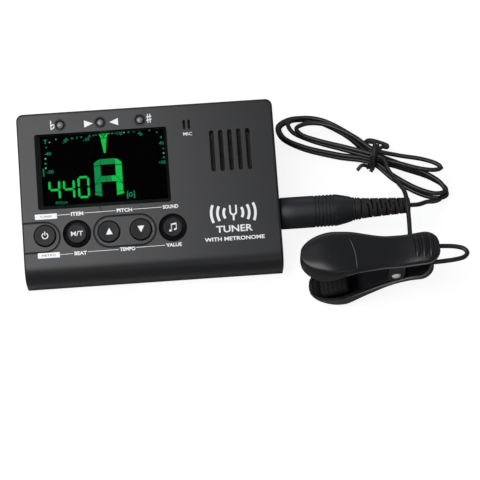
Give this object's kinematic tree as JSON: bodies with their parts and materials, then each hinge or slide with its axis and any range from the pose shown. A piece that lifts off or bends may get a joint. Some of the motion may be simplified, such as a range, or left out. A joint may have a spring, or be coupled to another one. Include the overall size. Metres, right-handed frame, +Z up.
{
  "type": "clip on tuner",
  "caption": "Desk tuner and metronome box on a folding stand, with a plugged-in lead that ends in a spring clip holding a contact pickup.",
  "frame": {"origin": "middle of the flat along the box's lower rear edge, on the ground it stands on", "axes": "+Z up, +X across the box to the right, where the plug goes in, +Y away from the player; the box's face leans back by 21 degrees"},
  "size_m": [0.1915, 0.0989, 0.0446],
  "materials": {
    "case_black": "fine-grained satin black moulding",
    "button_black": "satin black caps with printed white symbols",
    "screen_black": "clear glossy window over a dark display",
    "display_green": "lit green segments on black",
    "clear_lens": "clear and polished",
    "board_green": "solder-masked laminate",
    "chip_black": "moulded black",
    "steel": "plain plated steel",
    "chrome": "polished plate",
    "brass": "thin rolled brass",
    "ceramic_white": "silvered ceramic",
    "speaker_paper": "black paper cone",
    "cell_jacket": "plain sleeve",
    "plug_black": "dark satin handle",
    "rubber_black": "matt rubber",
    "clip_black": "semi-gloss black moulding",
    "cable_black": "smooth soft sleeve",
    "insulator_black": "plain insulator"
  },
  "bodies": {
    "case": {"front_cover": "case_black", "rear_cover": "case_black", "display_window": "screen_black", "display_glass": "display_green", "display_holder": "chip_black", "light_guide": "clear_lens", "contact_strip": "rubber_black", "circuit_board": "board_green", "controller_chip": "chip_black", "power_switch": "chip_black", "mode_switch": "chip_black", "up_switch": "chip_black", "down_switch": "chip_black", "sound_switch": "chip_black", "led_flat": "clear_lens", "led_in_tune": "clear_lens", "led_sharp": "clear_lens", "speaker_basket": "steel", "speaker_cone": "speaker_paper", "microphone": "steel", "input_jack": "insulator_black", "jack_contact": "steel", "battery_1": "cell_jacket", "battery_2": "cell_jacket", "battery_spring_1": "steel", "battery_spring_2": "steel", "battery_bridge": "steel", "battery_contact_minus": "steel", "battery_contact_plus": "steel", "case_screw_1": "steel", "case_screw_2": "steel", "case_screw_3": "steel", "case_screw_4": "steel", "stand_pin": "steel"},
    "power_button": {"power_button": "button_black"},
    "mode_button": {"mode_button": "button_black"},
    "up_button": {"up_button": "button_black"},
    "down_button": {"down_button": "button_black"},
    "sound_button": {"sound_button": "button_black"},
    "stand": {"stand_leg": "case_black"},
    "battery_door": {"battery_door": "case_black"},
    "lead": {"plug_tip": "chrome", "plug_insulator": "insulator_black", "plug_sleeve": "chrome", "plug_handle": "plug_black", "strain_relief": "rubber_black", "cable": "cable_black", "twist_tie": "cable_black", "clip_upper_shell": "clip_black", "clip_pin": "steel", "clip_spring": "steel", "jaw_pad_upper": "rubber_black", "piezo_disc": "brass", "piezo_ceramic": "ceramic_white"},
    "clip_lower": {"clip_lower_shell": "clip_black", "jaw_pad_lower": "rubber_black"}
  },
  "joints": [
    {"name": "power_press", "type": "slide", "parent": "case", "child": "power_button", "axis": [0, 0.3584, -0.9336], "range_m": [0, 0.0006], "stiffness_N_per_m": 300},
    {"name": "mode_press", "type": "slide", "parent": "case", "child": "mode_button", "axis": [0, 0.3584, -0.9336], "range_m": [0, 0.0006], "stiffness_N_per_m": 300},
    {"name": "up_press", "type": "slide", "parent": "case", "child": "up_button", "axis": [0, 0.3584, -0.9336], "range_m": [0, 0.0006], "stiffness_N_per_m": 300},
    {"name": "down_press", "type": "slide", "parent": "case", "child": "down_button", "axis": [0, 0.3584, -0.9336], "range_m": [0, 0.0006], "stiffness_N_per_m": 300},
    {"name": "sound_press", "type": "slide", "parent": "case", "child": "sound_button", "axis": [0, 0.3584, -0.9336], "range_m": [0, 0.0006], "stiffness_N_per_m": 300},
    {"name": "stand_fold", "type": "hinge", "parent": "case", "child": "stand", "pos_m": [0, 0.03469, 0.01507], "axis": [1, 0, 0], "range_deg": [0, 54]},
    {"name": "battery_door_slide", "type": "slide", "parent": "case", "child": "battery_door", "axis": [-1, 0, 0], "range_m": [0, 0.052]},
    {"name": "plug_pull", "type": "slide", "parent": "case", "child": "lead", "axis": [1, 0, 0], "range_m": [0, 0.036]},
    {"name": "clip_squeeze", "type": "hinge", "parent": "lead", "child": "clip_lower", "pos_m": [0.1032, -0.0097, 0.021], "axis": [0, 1, 0], "range_deg": [-6, 29], "deforming": ["clip_spring"]}
  ]
}
